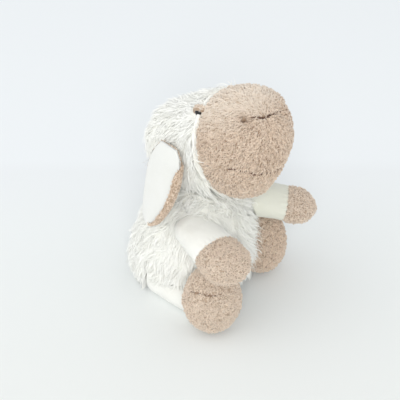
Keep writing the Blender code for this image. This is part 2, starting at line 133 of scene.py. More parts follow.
# Noise and curves
def perlin(points, seed=0):
    """Smooth noise, about -1 to 1, at an array of points, with cells one unit wide."""
    cell = np.floor(points).astype(np.int64)
    inside = points - cell
    fade = inside**3 * (inside * (inside * 6 - 15) + 10)
    total = np.zeros(len(points))
    for corner in itertools.product((0, 1), repeat=3):
        step = np.array(corner)
        at = cell + step
        key = (at[:, 0] * 73856093) ^ (at[:, 1] * 19349663) ^ (at[:, 2] * 83492791) ^ (seed * 15485863 + 7)
        key = ((key ^ (key >> 13)) * 1274126177) & 0x7FFFFFFF
        key = ((key ^ (key >> 15)) * 747796405) & 0x7FFFFFFF
        high = (key & 0xFFFF) / 32767.5 - 1
        turn = ((key >> 15) & 0xFFFF) / 65536 * 2 * math.pi
        flat = np.sqrt(1 - high**2)
        slope = np.stack([flat * np.cos(turn), flat * np.sin(turn), high], 1)
        weight = np.prod(np.where(step, fade, 1 - fade), 1)
        total += weight * np.sum(slope * (inside - step), 1)
    return total * 1.6


def perlin3(points, seed=0):
    return np.stack([perlin(points, seed + i) for i in range(3)], 1)


def flowing(points, count):
    """That many points, evenly spaced along a smooth curve through a list of points."""
    points = np.array(points, float)
    ends = np.concatenate([points[:1] * 2 - points[1:2], points, points[-1:] * 2 - points[-2:-1]])
    a, b, c, d = (ends[i:len(ends) - 3 + i, None, :] for i in range(4))
    t = np.linspace(0, 1, 24, endpoint=False)[None, :, None]
    curve = (b * 2 + (c - a) * t + (a * 2 - b * 5 + c * 4 - d) * t**2 + (b * 3 - a - c * 3 + d) * t**3) / 2
    curve = np.concatenate([curve.reshape(-1, points.shape[1]), points[-1:]])
    far = np.concatenate([[0], np.cumsum(np.linalg.norm(np.diff(curve, axis=0), axis=1))])
    at = np.linspace(0, far[-1], count)
    return np.stack([np.interp(at, far, curve[:, i]) for i in range(points.shape[1])], 1)


def arc(middle, reach, radius, start, stop, steps=12):
    angles = np.radians(np.linspace(start, stop, steps + 1))
    return [(middle + reach * math.sin(a), max(radius * math.cos(a), 0.0)) for a in angles]


def smooth(x, low, high):
    """0 up to low, 1 from high on, and a soft rise between them."""
    t = np.clip((x - low) / (high - low), 0, 1)
    return t * t * (3 - 2 * t)


def bell(far, wide):
    return np.exp(-((far / wide) ** 2))


def distance(points, place):
    return np.linalg.norm(points - place, axis=1)


def from_line(points, line):
    """Distances from the nearest of a line's points."""
    return np.min(np.linalg.norm(points[:, None] - line[None], axis=2), axis=1)


# Frames
def framed(place, x, y, z):
    return Matrix.Translation(place) @ Matrix((x, y, z)).transposed().to_4x4()


def aimed(place, yaw, pitch):
    """A frame with Z forward, turned to the sheep's right by yaw and up by pitch, and X to its left."""
    y, p = math.radians(yaw), math.radians(pitch)
    forward = Vector((-math.sin(y) * math.cos(p), -math.cos(y) * math.cos(p), math.sin(p)))
    left = Vector((math.cos(y), -math.sin(y), 0))
    return framed(place, left, forward.cross(left), forward)


HEAD = aimed(HEAD_CENTRE, HEAD_YAW, HEAD_PITCH)


# Meshes
def placed(points, matrix):
    m = np.array(matrix)
    return points @ m[:3, :3].T + m[:3, 3]


def mesh_piece(name, points, faces, body, look, creases=None, smooth_faces=True):
    """A mesh piece that rides on a body and takes its finish from a slot.

    creases has a value for each point: above zero darkens it to the look's crease colour, a painted shade; below
    zero pales it, painted light on the muzzle's top and the hands and feet, and a paler tone on the eye lids."""
    mesh = bpy.data.meshes.new(name)
    if isinstance(faces, np.ndarray):
        mesh.vertices.add(len(points))
        mesh.vertices.foreach_set("co", points.ravel())
        mesh.loops.add(faces.size)
        mesh.loops.foreach_set("vertex_index", faces.ravel())
        mesh.polygons.add(len(faces))
        mesh.polygons.foreach_set("loop_start", np.arange(0, faces.size, 3))
        mesh.update(calc_edges=True)
    else:
        mesh.from_pydata(points.tolist(), [], faces)
    if creases is not None:
        mesh.attributes.new("crease", "FLOAT", "POINT").data.foreach_set("value", creases)
    mesh.validate()
    if smooth_faces:
        mesh.shade_smooth()
    else:
        mesh.shade_flat()
    mesh.materials.append(look)
    piece = bpy.data.objects.new(name, mesh)
    bpy.context.scene.collection.objects.link(piece)
    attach(piece, body)
    return piece


def grid_faces(rows, columns, closed=True):
    faces = []
    for i in range(rows - 1):
        for j in range(columns if closed else columns - 1):
            k = (j + 1) % columns
            faces.append((i * columns + j, i * columns + k, (i + 1) * columns + k, (i + 1) * columns + j))
    return faces


def lathe(profile, turns, matrix, wide=1.0, thin=1.0):
    """Points and faces of a profile turned round Z. A profile end on the axis becomes one point."""
    profile = np.asarray(profile, float)
    angle = np.linspace(0, 2 * math.pi, turns, endpoint=False)
    rows = profile[1:-1]
    ring = np.stack([np.cos(angle) * wide, np.sin(angle) * thin], 1)
    height = np.broadcast_to(rows[:, None, 0:1], (len(rows), turns, 1))
    body = np.concatenate([rows[:, None, 1:2] * ring[None], height], 2).reshape(-1, 3)
    points = np.concatenate([body, [[0, 0, profile[0, 0]], [0, 0, profile[-1, 0]]]])
    faces = grid_faces(len(rows), turns)
    first, last = len(body), len(body) + 1
    for j in range(turns):
        k = (j + 1) % turns
        faces.append((first, k, j))
        faces.append((last, (len(rows) - 1) * turns + j, (len(rows) - 1) * turns + k))
    return placed(points, matrix), faces


def triangles_of(faces):
    quads = np.array([f for f in faces if len(f) == 4], int).reshape(-1, 4)
    tris = np.array([f for f in faces if len(f) == 3], int).reshape(-1, 3)
    return np.concatenate([tris, quads[:, :3], quads[:, [0, 2, 3]]])


def normals_of(points, faces):
    """Outward unit normals at the points of a mesh."""
    total = np.zeros_like(points)
    tris = triangles_of(faces)
    cross = np.cross(points[tris[:, 1]] - points[tris[:, 0]], points[tris[:, 2]] - points[tris[:, 0]])
    for corner in tris.T:
        np.add.at(total, corner, cross)
    return unit(total)


def scatter(points, faces, normals, spacing, seed, keep=None):
    """Random places on a mesh, about one for each square of that spacing, with their normals."""
    rng = np.random.default_rng(seed)
    tris = triangles_of(faces)
    a, b, c = (points[tris[:, i]] for i in range(3))
    area = np.linalg.norm(np.cross(b - a, c - a), axis=1) / 2
    count = int(area.sum() / spacing**2)
    pick = np.searchsorted(np.cumsum(area), rng.random(count) * area.sum())
    pick = np.minimum(pick, len(tris) - 1)
    u, v = rng.random(count), rng.random(count)
    over = u + v > 1
    u[over], v[over] = 1 - u[over], 1 - v[over]
    w = np.stack([1 - u - v, u, v], 1)
    place = sum(w[:, i:i + 1] * points[tris[pick, i]] for i in range(3))
    normal = sum(w[:, i:i + 1] * normals[tris[pick, i]] for i in range(3))
    normal /= np.linalg.norm(normal, axis=1, keepdims=True)
    if keep is not None:
        chosen = keep(place, normal)
        place, normal = place[chosen], normal[chosen]
    return place, normal, rng


def unit(v):
    return v / np.maximum(np.linalg.norm(v, axis=-1, keepdims=True), 1e-12)


def across(vectors, normal):
    """The parts of vectors that lie along a surface."""
    return vectors - normal * np.sum(vectors * normal, 1, keepdims=True)


def tubes(lines, radii, side, sides=3, tip=True, wide=1.0, thin=1.0):
    """Many small closed tubes as triangles, wide across side and thin along it. lines is (tubes, rings, 3)."""
    count, rings, _ = lines.shape
    along = unit(np.gradient(lines, axis=1))
    a = unit(np.cross(along, side[:, None]))
    b = np.cross(along, a)
    body = rings - 1 if tip else rings
    turn = np.linspace(0, 2 * math.pi, sides, endpoint=False)[None, None, :, None] - math.pi / 2
    ring = a[:, :body, None] * np.cos(turn) * wide + b[:, :body, None] * np.sin(turn) * thin
    points = (lines[:, :body, None] + ring * radii[:, :body, None, None]).reshape(count, -1, 3)
    if tip:
        points = np.concatenate([points, lines[:, -1:]], 1)
    faces = [(0, j + 1, j) for j in range(1, sides - 1)]
    for i in range(body - 1):
        for j in range(sides):
            low, high = i * sides + j, i * sides + (j + 1) % sides
            faces += [(low, high, high + sides), (low, high + sides, low + sides)]
    last = (body - 1) * sides
    if tip:
        faces += [(last + j, last + (j + 1) % sides, body * sides) for j in range(sides)]
    else:
        faces += [(last, last + j, last + j + 1) for j in range(1, sides - 1)]
    every = (np.arange(count) * points.shape[1])[:, None, None] + np.array(faces)[None]
    return points.reshape(-1, 3), every.reshape(-1, 3)


def pile(name, place, normal, rng, way, rise, length, thick, body, clear):
    """Tapered locks of long pile that lie along a surface, their tips drawn together in tufts."""
    count = len(place)
    swirl = perlin3(place / 0.013, 11) * 0.75 + rng.normal(0, 0.2, (count, 3))
    way = unit(across(way + swirl, normal))
    high = rise * (0.40 + 0.45 * rng.random(count)) * (1 + 0.25 * perlin(place / 0.009, 17))
    high = np.where(rng.random(count) < TALL_SHARE, high * TALL_GROWTH, high)[:, None]
    long = (length * (0.65 + 0.6 * rng.random(count)))[:, None]
    flat = np.sqrt(np.maximum(long**2 - high**2, 0))
    tips = place + way * flat + normal * high
    heads = np.flatnonzero(rng.random(count) < TUFT_SHARE)
    tree = kdtree.KDTree(len(heads))
    tops = place + normal * high
    for i, index in enumerate(heads):
        tree.insert(tops[index], i)
    tree.balance()
    nearest = heads[[tree.find(top)[1] for top in tops]]
    pull = (0.1 + 0.55 * rng.random(count))[:, None]
    tips = tips + (tips[nearest] - tips) * pull
    middle = place + way * flat * 0.30 + normal * high * 1.05 + rng.normal(0, 0.0006, (count, 3))
    t = np.linspace(0, 1, 5)[None, :, None]
    lines = place[:, None] * (1 - t) ** 2 + middle[:, None] * 2 * t * (1 - t) + tips[:, None] * t**2
    lines = clear(lines.reshape(-1, 3), 0.0004).reshape(lines.shape)
    lines[:, :, 2] = np.maximum(lines[:, :, 2], thick * 2.4)
    radii = thick * (0.65 + 0.7 * rng.random(count))[:, None] * np.array([1.0, 1.1, 0.95, 0.6, 0.0])
    side = normal + rng.normal(0, 0.3, (count, 3))
    for part, start in enumerate(range(0, count, PILE_BATCH), 1):
        chosen = slice(start, start + PILE_BATCH)
        points, faces = tubes(lines[chosen], radii[chosen], side[chosen], wide=1.5, thin=0.35)
        mesh_piece(f"{name}_{part}", points, faces, body, fur_look, smooth_faces=False)


def yarn(name, place, normal, rng, way, body, long=0.0040, high=0.0015, thick=0.00030, shades=None):
    """Short curls of yarn that lie on a surface, their ends tucked into it. shades has a value for each curl."""
    count = len(place)
    way = unit(across(way + perlin3(place / 0.006, 41) * 0.9 + rng.normal(0, 0.35, (count, 3)), normal))
    side = np.cross(normal, way)
    s = np.linspace(-1, 1, 5)[None, :, None]
    size = (0.6 + 0.8 * rng.random(count))[:, None, None]
    bend = np.sin(math.pi * 0.9 * s + rng.random(count)[:, None, None] * 2 * math.pi) * long * 0.16
    lift = (high * (0.4 + 1.1 * rng.random(count) ** 2))[:, None, None] * (1 - s**2) - thick * 0.7
    lines = place[:, None] + way[:, None] * s * long / 2 * size + side[:, None] * bend * size
    lines = lines + normal[:, None] * lift
    lines[:, :, 2] = np.maximum(lines[:, :, 2], thick * 1.4)
    radii = thick * (0.8 + 0.4 * rng.random(count))[:, None] * np.array([0.7, 1.0, 1.1, 1.0, 0.7])
    for part, start in enumerate(range(0, count, YARN_BATCH), 1):
        chosen = slice(start, start + YARN_BATCH)
        points, faces = tubes(lines[chosen], radii[chosen], normal[chosen], sides=4, tip=False)
        deep = None if shades is None else np.repeat(shades[chosen], len(points) // len(lines[chosen]))
        mesh_piece(f"{name}_{part}", points, faces, body, terry_look, deep)


# Materials
def material(name, colour, roughness, build, sheen=0.0, specular=0.25):
    made = bpy.data.materials.new(name)
    made.use_nodes = True
    shader = made.node_tree.nodes["Principled BSDF"]
    shader.inputs["Base Color"].default_value = (*colour, 1)
    shader.inputs["Roughness"].default_value = roughness
    shader.inputs["Specular IOR Level"].default_value = specular
    if sheen:
        shader.inputs["Sheen Weight"].default_value = sheen
        shader.inputs["Sheen Roughness"].default_value = 0.6
    build(made.node_tree, shader)
    return made


def new_node(tree, kind, **values):
    """A node with some of its inputs set."""
    made = tree.nodes.new("ShaderNode" + kind)
    for name, value in values.items():
        made.inputs[name.replace("_", " ")].default_value = value
    return made


def link_ramp(tree, value, stops):
    ramp = new_node(tree, "ValToRGB")
    for end in (0, -1):
        element = ramp.color_ramp.elements[end]
        element.position, element.color = stops[end][0], (*stops[end][1], 1)
    for at, colour in stops[1:-1]:
        ramp.color_ramp.elements.new(at).color = (*colour, 1)
    tree.links.new(value, ramp.inputs["Fac"])
    return ramp.outputs["Color"]


def noise(tree, size, detail, rough):
    """Noise in the object's own space, with features about that many metres wide."""
    made = new_node(tree, "TexNoise", Scale=1 / size, Detail=detail, Roughness=rough)
    tree.links.new(new_node(tree, "TexCoord").outputs["Object"], made.inputs["Vector"])
    return made.outputs["Fac"]


def tones(low, high):
    """A ramp between two colours."""
    return [(0.3, low), (0.7, high)]


def mottled(fine, coarse, mix=0.5, bump=0.0, bump_size=0.0006, crease=None, pale=None):
    """Colour that shifts between the stops of two ramps, at a fine and a coarse scale, with a fine bump.

    Where a piece has creases above zero, the colour turns to the crease tone, painted shade in their depths; below
    zero, to the pale tone, painted light on the muzzle's top and on the hands and feet, and a paler tone on the eye
    lids."""
    def build(tree, shader):
        small = link_ramp(tree, noise(tree, fine[0], 3, 0.6), fine[1])
        large = link_ramp(tree, noise(tree, coarse[0], 2, 0.5), coarse[1])
        blend = new_node(tree, "Mix")
        blend.data_type = "RGBA"
        blend.inputs["Factor"].default_value = mix
        tree.links.new(small, blend.inputs["A"])
        tree.links.new(large, blend.inputs["B"])
        colour = blend.outputs["Result"]
        for limit, tone in ((1.0, crease), (-1.0, pale)):
            if tone:
                depth = new_node(tree, "Attribute")
                depth.attribute_name = "crease"
                share = new_node(tree, "MapRange", From_Max=limit)
                tree.links.new(depth.outputs["Fac"], share.inputs["Value"])
                deepen = new_node(tree, "Mix")
                deepen.data_type = "RGBA"
                tree.links.new(share.outputs["Result"], deepen.inputs["Factor"])
                tree.links.new(colour, deepen.inputs["A"])
                deepen.inputs["B"].default_value = (*tone, 1)
                colour = deepen.outputs["Result"]
        tree.links.new(colour, shader.inputs["Base Color"])
        if bump:
            relief = new_node(tree, "Bump", Strength=bump, Distance=bump_size)
            tree.links.new(noise(tree, bump_size * 1.5, 4, 0.7), relief.inputs["Height"])
            tree.links.new(relief.outputs["Normal"], shader.inputs["Normal"])
    return build


# Terry loops. Their crease tone is painted shade round the nostril; their pale tone is painted light on the
# muzzle's top and on the hands and feet, and a paler tone on the eye lids.
terry_look = material("terry", (0.76, 0.60, 0.465), 0.9, mottled(
    (0.0015, [(0.34, (0.44, 0.30, 0.20)), (0.5, (0.76, 0.60, 0.465)), (0.66, (0.96, 0.83, 0.70))]),
    (0.022, tones((0.71, 0.555, 0.425), (0.82, 0.67, 0.53))), 0.3,
    crease=(0.20, 0.115, 0.075), pale=(0.90, 0.80, 0.69)), 0.5)
# The terry ground is darker than its loops: painted shade in the gaps between them. Its crease tone is painted
# shade in the nose and mouth creases, the nostril pits and the foot seams; its pale tone is painted light on the
# muzzle's top and on the hands and feet.
terry_ground = material("terry_ground", (0.44, 0.32, 0.23), 0.95, mottled(
    (0.0012, tones((0.36, 0.25, 0.17), (0.51, 0.385, 0.285))),
    (0.02, tones((0.41, 0.295, 0.205), (0.47, 0.35, 0.255))), 0.4, 0.6,
    crease=(0.07, 0.035, 0.024), pale=(0.70, 0.58, 0.46)), 0.2)
fur_look = material("long_pile", (0.98, 0.975, 0.94), 0.8, mottled(
    (0.006, tones((0.965, 0.96, 0.91), (0.985, 0.982, 0.955))),
    (0.03, tones((0.96, 0.957, 0.90), (0.985, 0.982, 0.96)))), 0.3)
fur_ground = material("pile_ground", (0.965, 0.96, 0.91), 0.95, mottled(
    (0.003, tones((0.94, 0.93, 0.86), (0.98, 0.975, 0.94))),
    (0.02, tones((0.945, 0.935, 0.865), (0.97, 0.965, 0.93))), bump=0.4))
# Velour, one cloth in three copies, each with the mean colour, then the darker and the lighter tone of its fine and
# of its coarse mottling. The ear copy is painted darker than the sleeve and leg copy, against the stronger light on
# the ears; the left sleeve's copy is painted shade, darker and creamier, for the shade under the head.
sleeve_look, painted_shade_sleeve_look, velour_look = (
    material(name, colour, 0.85, mottled(
        (0.0009, tones(dark, light)), (0.012, tones(dull, clear)), bump=0.35, bump_size=0.0004), 0.3)
    for name, colour, dark, light, dull, clear in (
        ("sleeve_velour", (0.875, 0.87, 0.825),
         (0.855, 0.85, 0.80), (0.90, 0.895, 0.855), (0.86, 0.855, 0.80), (0.895, 0.89, 0.85)),
        ("painted_shade_sleeve_velour", (0.745, 0.745, 0.655),
         (0.725, 0.725, 0.63), (0.77, 0.77, 0.685), (0.73, 0.73, 0.63), (0.765, 0.765, 0.68)),
        ("velour", (0.80, 0.80, 0.77),
         (0.77, 0.77, 0.735), (0.815, 0.815, 0.79), (0.785, 0.785, 0.75), (0.815, 0.815, 0.795)),
    ))
thread_look = material("thread", (0.15, 0.08, 0.055), 0.8, mottled(
    (0.0006, tones((0.09, 0.045, 0.03), (0.22, 0.125, 0.09))),
    (0.004, tones((0.11, 0.06, 0.04), (0.19, 0.11, 0.075)))))
bead_look = material("bead", (0.008, 0.007, 0.007), 0.12, mottled(
    (0.002, tones((0.005, 0.0045, 0.004), (0.014, 0.011, 0.009))),
    (0.004, tones((0.006, 0.005, 0.005), (0.012, 0.010, 0.009)))), specular=0.5)


# Torso
def torso_centre(z):
    return TORSO_BACK - TORSO_LEAN * z / TORSO_HEIGHT


def torso_radius(z):
    table = np.array(TORSO_SIDE)
    return np.interp(z / TORSO_HEIGHT, table[:, 0], table[:, 1]) * TORSO_RADIUS


def lean_torso(points):
    moved = points.copy()
    moved[:, 0] *= TORSO_WIDE
    moved[:, 1] += torso_centre(points[:, 2])
    return moved


def clear_of_head(points, room):
    """Moves points that lie in the head's ball, or in the room for its swing, out to that room's side."""
    from_head = points - HEAD_POINT
    far = np.linalg.norm(from_head, axis=1, keepdims=True)
    points = np.where(far < room, HEAD_POINT + from_head / np.maximum(far, 1e-9) * room, points)
    local = placed(points, HEAD.inverted())
    swing = math.radians(HEAD_SWING)
    start = -room * math.sin(swing)
    limit = room * math.cos(swing) + 0.0005 + (local[:, 2] - start) * math.tan(swing + CHEEK_FLARE)
    out = np.hypot(local[:, 0], local[:, 1])
    grow = np.where((local[:, 2] > start) & (out < limit), limit / np.maximum(out, 1e-6), 1)
    local[:, :2] *= grow[:, None]
    return placed(local, HEAD)


def clear_of_legs(points, room):
    """Lifts points that lie in a leg's room to the top of it."""
    moved = points.copy()
    for side, sign in SIDES.items():
        hip = np.array(HIP[side])
        yaw = math.radians(LEG_YAW[side])
        forward = np.array((-math.sin(yaw), -math.cos(yaw)))
        left = np.array((math.cos(yaw), -math.sin(yaw)))
        flat = points[:, :2] - hip[:2]
        along, out = flat @ forward, flat @ left * sign
        inside = ((along > 0) & (out > -room)) | (np.hypot(along, out) < room) | ((along > -room) & (out > 0))
        low = points[:, 2] < 2 * LEG_RADIUS
        moved[:, 2] = np.where(inside & low, 2 * LEG_RADIUS + 0.0004, moved[:, 2])
    return moved


def tufted(points, squeeze):
    """Relief of combed tufts, drawn out along the axes that are squeezed."""
    warped = points * squeeze + perlin3(points / 0.012, 51) * 0.0012
    return perlin(warped / 0.0042, 52) * 0.0006 + perlin(warped / 0.0018, 53) * 0.0003


def arm_frame(side):
    sign = SIDES[side]
    place = Vector((ARM_PLACE.x * sign, ARM_PLACE.y, ARM_PLACE.z))
    normal = Vector((ARM_NORMAL.x * sign, ARM_NORMAL.y, ARM_NORMAL.z))
    return aimed(place, ARM_YAW[side], ARM_PITCH[side]), place, normal


def clear_of_arms(points, room):
    """Moves points that lie in a sleeve out to its surface."""
    for side in SIDES:
        arm = arm_frame(side)[0]
        local = placed(points, arm.inverted())
        x, y = local[:, 0] / ARM_WIDE, local[:, 1] / ARM_THIN
        back = np.minimum(local[:, 2], 0) * ARM_ROOT / ARM_BACK
        far = np.sqrt(x**2 + y**2 + back**2)
        out = np.maximum((ARM_ROOT + room + 0.0006) / np.maximum(far, 1e-6), 1)
        inside = (local[:, 2] < CUFF_REACH[side]) & (out > 1)
        grown = local * np.stack([out, out, np.where(back < 0, out, 1)], 1)
        points = np.where(inside[:, None], placed(grown, arm), points)
    return points


def in_arm(points, room):
    moved = clear_of_arms(points, room)
    return distance(moved, points) > 0


def build_torso():
    side = [(0.0, 0.0), (0.0, 0.3 * TORSO_RADIUS), (0.0, 0.58 * TORSO_RADIUS)]
    side += [(h * TORSO_HEIGHT, r * TORSO_RADIUS - FUR_INSET * (0.3 + 0.7 * min(h / 0.12, 1)))
             for h, r in TORSO_SIDE]
    side += [(TORSO_HEIGHT, 0.1 * TORSO_RADIUS), (TORSO_HEIGHT, 0.0)]
    points, faces = lathe(flowing(side, 200), 300, Matrix())
    points[:, 2] = np.maximum(points[:, 2], 0)
    points = lean_torso(points)
    normals = normals_of(points, faces)
    lumps = perlin(points / 0.013, 3) * 0.0013 + perlin(points / 0.007, 4) * 0.0009
    lumps = lumps + tufted(points, (1.0, 1.0, 0.4))
    floor_fade = smooth(points[:, 2], 0.0, 0.006)[:, None]
    points += normals * (lumps[:, None] * floor_fade)
    points = clear_of_head(points, HEAD_RADIUS + 0.0006)
    points = clear_of_legs(points, LEG_RADIUS + 0.001)
    normals = normals_of(points, faces)
    ground = mesh_piece("body_skin", points, faces, "torso", fur_ground)
    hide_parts("body_cover", "body_filling")

    def on_side(place, normal):
        near_head = distance(place, HEAD_POINT) < HEAD_RADIUS + 0.002
        below = (normal[:, 2] < -0.5) & (place[:, 2] < 0.03)
        return ~near_head & ~below & ~in_arm(place, -0.0015)

    spacing, rise, length, thick = BODY_PILE
    place, normal, rng = scatter(points, faces, normals, spacing, 101, on_side)
    height = place[:, 2]
    way = across(np.array([[0, 0.1, -1.0]]), normal)
    belly = smooth(normal @ np.array([0.588, -0.809, 0.0]), 0.45, 0.9) * smooth(height, 0.012, 0.030)
    back = 0.6 * smooth(normal @ np.array([-0.5, 0.8, 0.3]), 0.5, 0.9) * smooth(height, 0.05, 0.075)
    shaggy = np.maximum(belly, back)
    ruff = smooth(height, 0.078, 0.092)
    way = way * (1 - 0.6 * ruff[:, None])
    rise = rise * (0.35 + 0.65 * smooth(height, 0.0, 0.02)) * (1 + 1.6 * shaggy + 1.1 * ruff)

    def clear(points, room):
        return clear_of_head(clear_of_arms(points, room), HEAD_RADIUS - 0.0018)

    pile("body_pile", place, normal, rng, way, rise, length * (1 + 0.25 * shaggy), thick, "torso", clear)


# Head
def on_head(along, turn, lift=0.0):
    """A frame on the head's surface: X forward, Y round towards the top, Z out."""
    profile = np.array(head_side() + muzzle_side()[1:])
    out = np.interp(along, profile[:, 0], profile[:, 1])
    step = 0.0005
    slope = float(np.interp(along + step, profile[:, 0], profile[:, 1])
                  - np.interp(along - step, profile[:, 0], profile[:, 1])) / (2 * step)
    angle = math.radians(turn)
    ring = Vector((-math.sin(angle), math.cos(angle), 0))
    normal = (ring - slope * UP).normalized()
    upwards = Vector((math.cos(angle), math.sin(angle), 0))
    place = ring * float(out) + Vector((0, 0, float(along))) + normal * lift
    return HEAD @ framed(place, upwards.cross(normal), upwards, normal)


def head_side():
    return arc(0, HEAD_RADIUS, HEAD_RADIUS, -90, 0, 16) + [
        (SEAM_ALONG / 2, (HEAD_RADIUS + SEAM_RADIUS) / 2 + 0.0003), (SEAM_ALONG, SEAM_RADIUS)]


def muzzle_side():
    return [(SEAM_ALONG, SEAM_RADIUS)] + arc(MUZZLE_MIDDLE, MUZZLE_DOME, MUZZLE_RADIUS, 0, 90, 24)


def ear_frame(side):
    sign = SIDES[side]
    forward = (HEAD.to_3x3() @ UP).cross(UP)
    forward = Matrix.Rotation(sign * CHEEK_FLARE, 3, "Z") @ UP.cross(forward).normalized()
    out = forward.cross(UP) * -sign
    tilt = math.radians(EAR_TILT)
    down = out * math.sin(tilt) - UP * math.cos(tilt)
    outwards = out * math.cos(tilt) + UP * math.sin(tilt)
    return framed(on_head(EAR_ALONG, -sign * EAR_TURN, 0.00315).translation, forward, outwards, down)


def clear_of_ears(points, room):
    """Presses points that lie in or over an ear down to its lining."""
    for side in SIDES:
        ear = ear_frame(side)
        local = placed(points, ear.inverted())
        down = np.clip(local[:, 2] / EAR_LENGTH, 0, 1)
        table = np.array(EAR_SIDE)
        half = np.interp(down, table[:, 0], table[:, 1]) * EAR_WIDTH / 2
        reach = np.abs(local[:, 0] + EAR_SWEEP * down**2)
        fade = smooth(reach - half, 0.001, -0.002) * smooth(local[:, 2], -0.001, 0.002)
        fade = fade * smooth(local[:, 2] - EAR_LENGTH, 0.002, -0.002)
        top = np.maximum(local[:, 1], -0.0024 - room)
        local[:, 1] -= (top - (-0.0024 - room)) * fade
        points = placed(local, ear)
    return points


def build_head():
    back = [(a, max(r - FUR_INSET, 0)) for a, r in head_side()]
    back = [(-HEAD_RADIUS + FUR_INSET, 0.0)] + back[1:-1]
    back += [(SEAM_ALONG - 0.008, SEAM_RADIUS - 0.0018), (SEAM_ALONG - 0.002, SEAM_RADIUS - 0.0012)]
    back += [(SEAM_ALONG, SEAM_RADIUS * 0.5), (SEAM_ALONG, 0.0)]
    points, faces = lathe(flowing(back, 180), 280, HEAD)
    normals = normals_of(points, faces)
    relief = perlin(points / 0.014, 5) * 0.0009 + tufted(points, (1.0, 0.7, 0.6)) * 0.5
    points += normals * relief[:, None]
    normals = normals_of(points, faces)
    ground = mesh_piece("head_skin", points, faces, "head", fur_ground)
    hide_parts("head_cover", "head_filling")
    eyes = [np.array(on_head(EYE_ALONG, -sign * EYE_TURN[side]).translation) for side, sign in SIDES.items()]

    def on_back(place, normal):
        local = placed(place, HEAD.inverted())
        clear = (local[:, 2] < SEAM_ALONG - 0.0005) & (np.hypot(local[:, 0], local[:, 1]) > 0.012)
        for eye in eyes:
            clear &= distance(place, eye) > EYE_ROOM
        return clear | (local[:, 2] < 0)

    spacing, rise, length, thick = HEAD_PILE
    place, normal, rng = scatter(points, faces, normals, spacing, 201, on_back)
    local = placed(place, HEAD.inverted())
    turn = np.degrees(np.abs(np.arctan2(local[:, 0], local[:, 1])))
    forward = smooth(local[:, 2], 0.022, 0.042) * (0.15 + 0.85 * smooth(turn, 55, 80))
    head_forward = np.array(HEAD.to_3x3() @ UP)
    way = np.array([[0, 0.25, -0.8]]) * (1 - 0.4 * forward[:, None]) + head_forward * forward[:, None] * 1.1
    near_seam = smooth(local[:, 2], 0.030, 0.044)
    crown = smooth(local[:, 1], 0.012, 0.030) * smooth(local[:, 2], -0.020, 0.0)
    drape = smooth(-normal[:, 2], 0.0, 0.6) * (1 - near_seam)
    fringe = near_seam * smooth(turn, 60, 85)
    rise = rise * (1 - 0.3 * near_seam + 2.2 * fringe) * (1 + 0.6 * crown + 1.2 * drape)
    for eye in eyes:
        rise *= 1.25 - 0.25 * smooth(distance(place, eye), 0.007, 0.012)
    length = length * (1 + 0.2 * crown + 1.1 * drape)
    pile("head_pile", place, normal, rng, across(way, normal), rise, length, thick, "head", clear_of_ears)


def paths():
    """The stitched lines of the nose and the mouth, as points on the muzzle's form."""
    made = []
    for shares in (NOSE, MOUTH):
        places = [(MUZZLE_MIDDLE + share * MUZZLE_DOME, turn) for share, turn in shares]
        made.append(np.array([on_head(a, t).translation[:] for a, t in flowing(places, 90)]))
    return made


def sunk(points):
    """How far the uneven stuffing draws points of the muzzle in."""
    depth = np.zeros(len(points))
    for centre, swell, wide in FACE_SWELLS:
        far = distance(points, np.array(HEAD @ Vector(centre)))
        depth -= swell * bell(far, wide)
    return depth


def painted_top_light(points):
    """How much painted light lies on the muzzle: most along its top."""
    top = placed(points, HEAD.inverted())[:, 1] + perlin(points / 0.01, 61) * 0.004
    return 0.85 * smooth(top, 0.016, 0.038)


def creased(points, normals, lines):
    """Draws the nostrils and both lines into the muzzle, and gives each point its painted shade in these creases
    and pits, less the painted light along the muzzle's top.
    """
    depth, marks = np.zeros(len(points)), np.zeros(len(points))
    for line, (deep, wide, mark) in zip(lines, LINE_CREASES):
        far = from_line(points, line[::3])
        depth = np.maximum(depth, deep * bell(far, wide))
        marks = np.maximum(marks, mark * bell(far, wide * 0.7))
    for end, deep, wide, mark in NOSTRIL_PITS:
        far = distance(points, lines[0][end])
        depth = np.maximum(depth, deep * bell(far, wide))
        marks = np.maximum(marks, mark * bell(far, wide * 0.42))
    # Painted light along the muzzle's top, where no painted shade lies.
    marks -= painted_top_light(points) * (1 - marks)
    return points - normals * (depth + sunk(points))[:, None], marks


def from_nostril(place, line):
    """Distances from the axis of the visible nostril's pit. Places far along it count as far off."""
    axis = unit(line[NOSTRIL] - HEAD_POINT)
    offset = place - line[NOSTRIL]
    along = offset @ axis
    return distance(offset, along[:, None] * axis) + np.where(np.abs(along) > 0.012, 1, 0)


def loop_rows(points):
    """Relief of the rows of terry loops."""
    return (perlin(points / 0.0019, 9) * 0.00020)[:, None]


